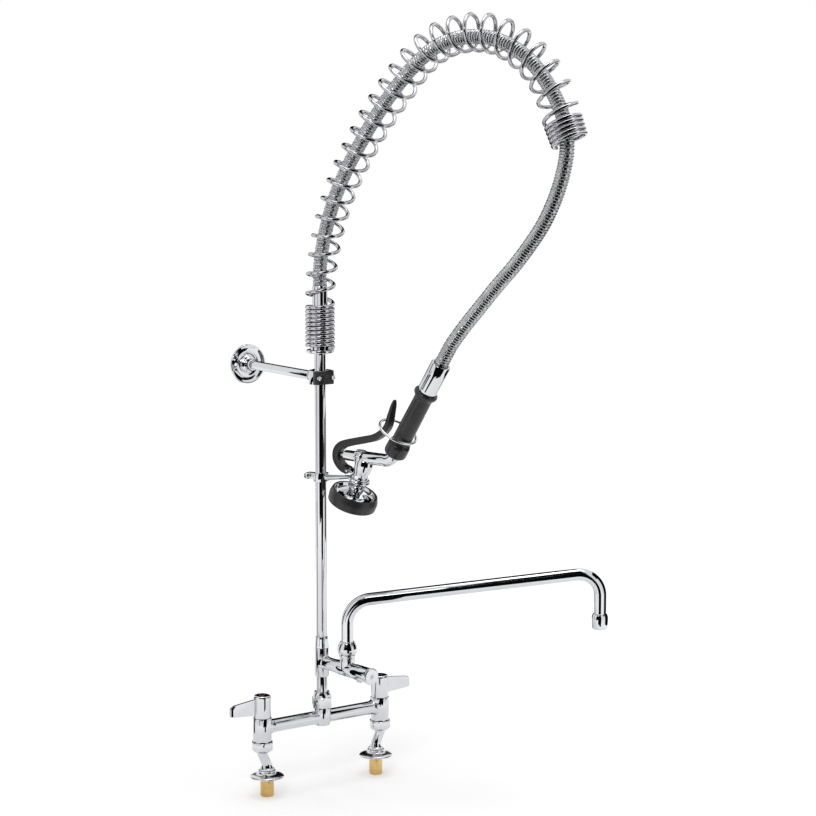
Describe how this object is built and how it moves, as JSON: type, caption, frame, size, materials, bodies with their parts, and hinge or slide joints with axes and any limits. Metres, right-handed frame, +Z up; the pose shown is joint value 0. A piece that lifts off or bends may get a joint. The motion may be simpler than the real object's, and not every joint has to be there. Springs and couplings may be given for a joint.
{
  "type": "pre rinse faucet",
  "caption": "Chrome deck-mounted pre-rinse faucet: bridge body with lever handles, add-on swing spout, sprung riser hose arch and a black-gripped spray valve on a hook",
  "frame": {"origin": "On the deck plane, midway between the two inlet shanks, on the riser's axis", "axes": "+X along the bridge, towards the cold (right) valve as the user sees it; +Y towards the wall behind the faucet; +Z up along the riser"},
  "size_m": [0.4959, 0.6885, 1.1875],
  "materials": {
    "chrome": "polished plating",
    "brass": "machined",
    "braided_steel": "ribbed bright steel",
    "spring_steel": "bright wire",
    "steel_face": "brushed",
    "black_rubber": "satin",
    "black_grip": "satin",
    "black_plastic": "satin",
    "index_red": "gloss",
    "index_dark": "gloss"
  },
  "bodies": {
    "fixed_body": {"bridge_body": "chrome", "cartridge_hot": "brass", "cartridge_cold": "brass", "coupling_nut_left": "chrome", "coupling_nut_right": "chrome", "leg_seals": "black_rubber", "offset_leg_left": "chrome", "offset_leg_right": "chrome", "escutcheon_left": "chrome", "escutcheon_right": "chrome", "inlet_shank_left": "brass", "inlet_shank_right": "brass", "union_nut": "chrome", "union_seal": "black_rubber", "short_nipple": "chrome", "addon_tee": "chrome", "addon_body": "chrome", "addon_cartridge": "brass", "riser_collar": "chrome", "riser_pipe": "chrome", "spout_nut": "chrome", "wall_flange": "chrome", "wall_arm": "chrome", "clamp_back": "chrome", "clamp_cap": "black_plastic", "clamp_screws": "chrome", "finger_hook": "chrome", "hook_screw": "chrome", "spring_seat": "chrome", "overhead_spring": "spring_steel", "hose_nut": "chrome", "hose": "braided_steel", "hose_ferrule": "chrome", "grip": "black_grip", "grip_tube": "brass", "valve_body": "chrome", "valve_bonnet": "chrome", "spray_dish": "chrome", "spray_face": "steel_face", "bumper_ring": "black_rubber"},
    "hot_handle": {"handle_hot": "chrome", "handle_screw_hot": "chrome", "index_hot": "index_red", "stem_hot": "brass"},
    "cold_handle": {"handle_cold": "chrome", "handle_screw_cold": "chrome", "index_cold": "index_dark", "stem_cold": "brass"},
    "addon_control": {"addon_knob": "chrome", "addon_cap": "chrome", "addon_screw": "chrome", "addon_stem": "brass"},
    "spout": {"spout_tube": "chrome", "spout_o_rings": "black_rubber", "outlet_shell": "chrome", "outlet_insert": "steel_face"},
    "squeeze_lever_body": {"squeeze_lever": "black_plastic", "lever_pin": "chrome"},
    "push_stem": {"valve_stem": "chrome"},
    "hold_down_ring": {"hold_ring": "chrome"}
  },
  "joints": [
    {"name": "hot_turn", "type": "hinge", "parent": "fixed_body", "child": "hot_handle", "pos_m": [-0.1096, 0, 0.113], "axis": [0, 0, 1], "range_deg": [0, 90]},
    {"name": "cold_turn", "type": "hinge", "parent": "fixed_body", "child": "cold_handle", "pos_m": [0.1096, 0, 0.113], "axis": [0, 0, -1], "range_deg": [0, 90]},
    {"name": "addon_turn", "type": "hinge", "parent": "fixed_body", "child": "addon_control", "pos_m": [0.00698, -0.09976, 0.167], "axis": [0.0698, -0.9976, 0], "range_deg": [0, 90]},
    {"name": "spout_swing", "type": "hinge", "parent": "fixed_body", "child": "spout", "pos_m": [0.00453, -0.06484, 0.198], "axis": [0, 0, 1], "range_deg": [-189, 81]},
    {"name": "lever_squeeze", "type": "hinge", "parent": "fixed_body", "child": "squeeze_lever_body", "pos_m": [0.01501, -0.05602, 0.474], "axis": [0.9659, 0.2588, 0], "range_deg": [0, 6], "stiffness_Nm_per_rad": 1.5},
    {"name": "stem_push", "type": "slide", "parent": "fixed_body", "child": "push_stem", "axis": [0.2588, -0.9659, 0], "range_m": [0, 0.0027]},
    {"name": "ring_slide", "type": "slide", "parent": "fixed_body", "child": "hold_down_ring", "axis": [0.1379, -0.5147, 0.8462], "range_m": [-0.004, 0]}
  ],
  "couplings": [
    {"joint": "stem_push", "follows": "lever_squeeze", "m_per_rad": 0.025}
  ]
}
